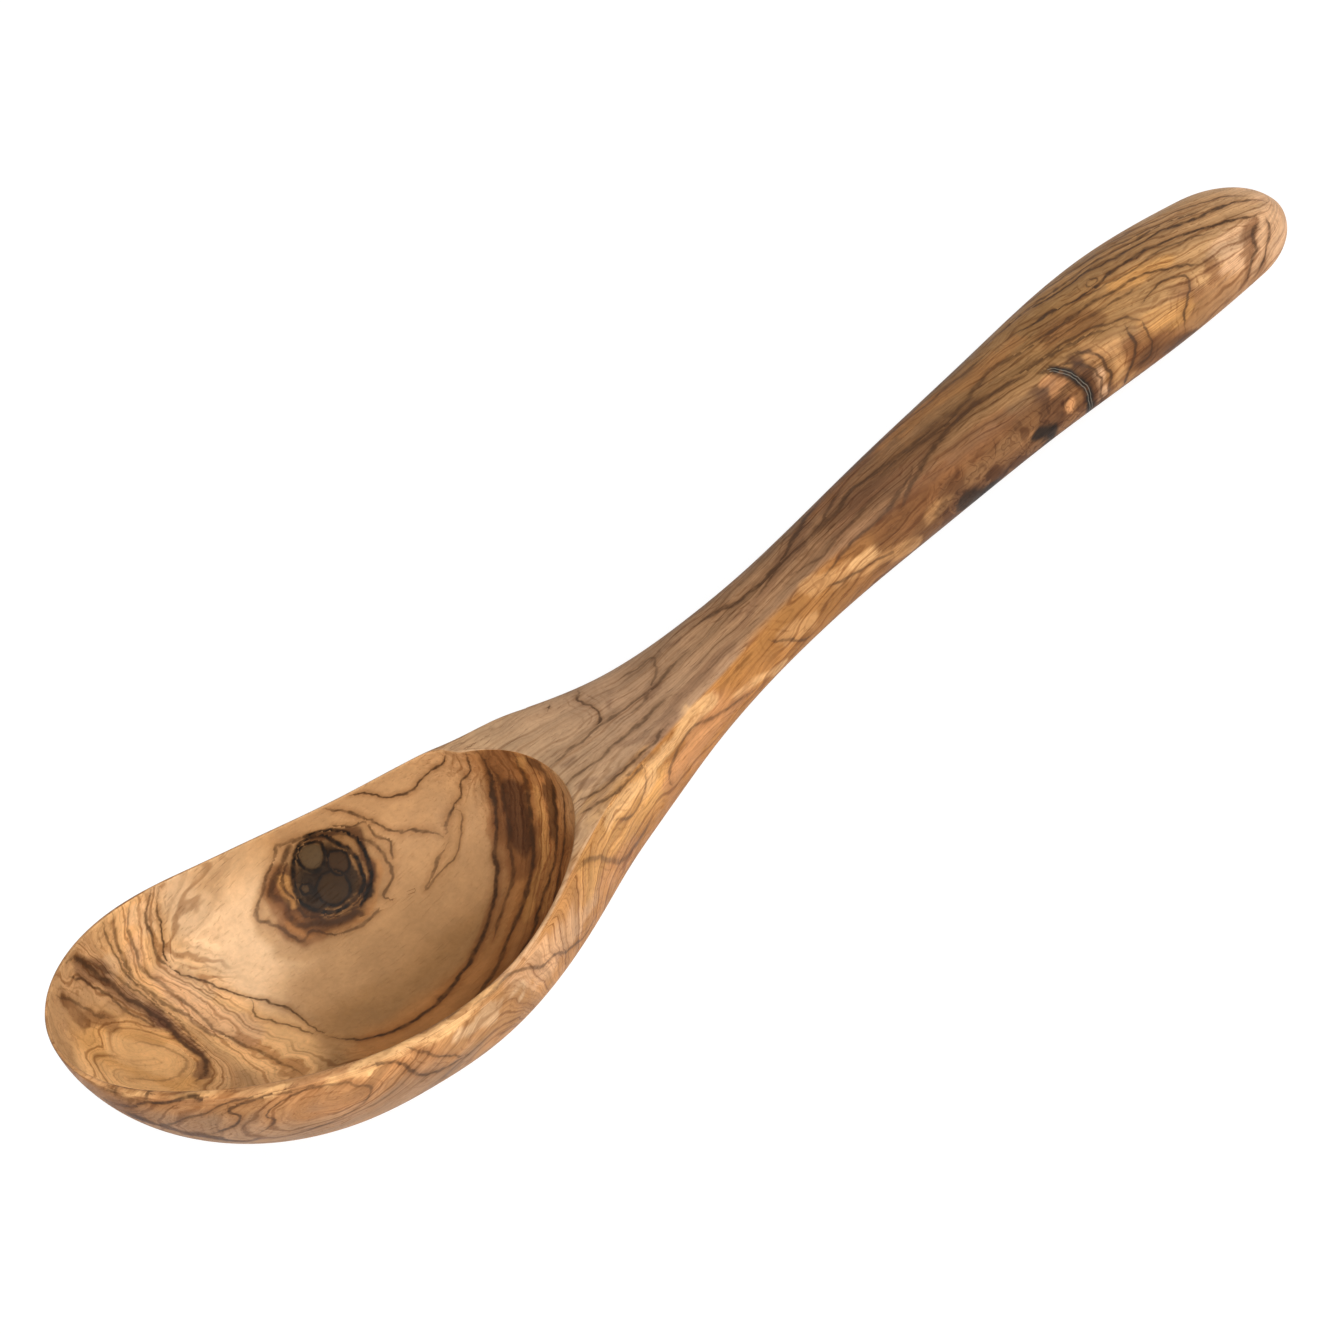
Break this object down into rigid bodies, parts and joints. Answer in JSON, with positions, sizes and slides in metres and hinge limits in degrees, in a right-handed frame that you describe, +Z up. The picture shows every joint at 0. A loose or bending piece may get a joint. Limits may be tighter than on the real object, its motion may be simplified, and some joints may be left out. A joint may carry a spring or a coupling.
{
  "type": "wooden spoon",
  "caption": "Deep oval cooking spoon carved from one piece of olive wood, with a curved handle that swells towards a rounded end.",
  "frame": {"origin": "midway along the spoon and across it, on the table that it rests on", "axes": "+X from the bowl's tip to the handle's end, +Y across the spoon, +Z up out of the bowl's hollow"},
  "size_m": [0.3, 0.0666, 0.0537],
  "materials": {
    "olive_wood": "sanded smooth and oiled to a satin sheen"
  },
  "bodies": {
    "root": {"spoon": "olive_wood"}
  },
  "joints": []
}
